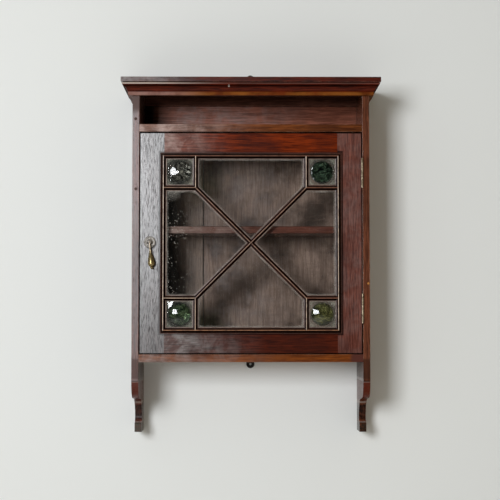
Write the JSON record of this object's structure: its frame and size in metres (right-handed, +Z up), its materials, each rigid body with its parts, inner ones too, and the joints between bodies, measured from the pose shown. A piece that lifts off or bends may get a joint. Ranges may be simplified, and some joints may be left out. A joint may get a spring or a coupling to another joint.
{
  "type": "glass wall cabinet",
  "caption": "Hanging cabinet with an open recess over a hinged glazed door, on scrolled side brackets.",
  "frame": {"origin": "on the wall face, midway between the holes of the top and bottom hanging plates", "axes": "+X to the viewer's right, +Y into the wall, +Z up"},
  "size_m": [0.552, 0.1825, 0.7947],
  "materials": {
    "carcass_wood": "worn satin polish",
    "door_wood": "satin polish",
    "bead_wood": "rubbed polish",
    "back_wood": "dull stain",
    "clear_glass": "clear",
    "bullseye_glass": "green, with swirls",
    "putty": "painted putty",
    "hinge_brass": "aged",
    "screw_steel": "dulled",
    "handle_brass": "aged and rubbed",
    "rose_metal": "tarnished",
    "iron": "blackened",
    "ball_steel": "polished"
  },
  "bodies": {
    "carcass": {"back_board_left": "back_wood", "back_board_level": "back_wood", "back_board_right": "back_wood", "back_nails": "iron", "bottom_board": "carcass_wood", "bottom_hanger": "iron", "catch_strike": "handle_brass", "cornice_front": "carcass_wood", "cornice_left": "carcass_wood", "cornice_rail": "back_wood", "cornice_right": "carcass_wood", "door_stop": "carcass_wood", "hanger_screws": "screw_steel", "hanging_rail": "back_wood", "hinge_lower_side_leaf": "hinge_brass", "hinge_pins": "hinge_brass", "hinge_side_screws": "screw_steel", "hinge_upper_side_leaf": "hinge_brass", "inner_shelf": "carcass_wood", "side_left": "carcass_wood", "side_right": "carcass_wood", "top_board": "carcass_wood", "top_hanger": "iron", "upper_shelf": "carcass_wood"},
    "door": {"bar_falling": "bead_wood", "bar_lower_left_level": "bead_wood", "bar_lower_left_upright": "bead_wood", "bar_lower_right_level": "bead_wood", "bar_lower_right_upright": "bead_wood", "bar_rising": "bead_wood", "bar_upper_left_level": "bead_wood", "bar_upper_left_upright": "bead_wood", "bar_upper_right_level": "bead_wood", "bar_upper_right_upright": "bead_wood", "bead_bottom": "bead_wood", "bead_left": "bead_wood", "bead_right": "bead_wood", "bead_top": "bead_wood", "bullseye_lower_left": "bullseye_glass", "bullseye_lower_right": "bullseye_glass", "bullseye_upper_left": "bullseye_glass", "bullseye_upper_right": "bullseye_glass", "catch_barrel": "handle_brass", "door_rail_bottom": "door_wood", "door_rail_top": "door_wood", "handle_nut": "rose_metal", "handle_post": "rose_metal", "handle_rose": "rose_metal", "handle_stile": "door_wood", "hinge_door_screws": "screw_steel", "hinge_lower_door_leaf": "hinge_brass", "hinge_stile": "door_wood", "hinge_upper_door_leaf": "hinge_brass", "pane_bottom": "clear_glass", "pane_left": "clear_glass", "pane_right": "clear_glass", "pane_top": "clear_glass", "putty": "putty"},
    "drop": {"handle_drop": "handle_brass"},
    "ball": {"catch_ball": "ball_steel"}
  },
  "joints": [
    {"name": "door_hinge", "type": "hinge", "parent": "carcass", "child": "door", "pos_m": [0.23675, -0.161, 0], "axis": [0, 0, 1], "range_deg": [0, 175]},
    {"name": "drop_swing", "type": "hinge", "parent": "door", "child": "drop", "pos_m": [-0.2145, -0.1672, -0.0575], "axis": [-0.9962, 0, -0.0872], "range_deg": [0, 170]},
    {"name": "catch_ball_press", "type": "slide", "parent": "door", "child": "ball", "axis": [1, 0, 0], "range_m": [0, 0.0012], "stiffness_N_per_m": 500, "springref_m": -0.002}
  ]
}
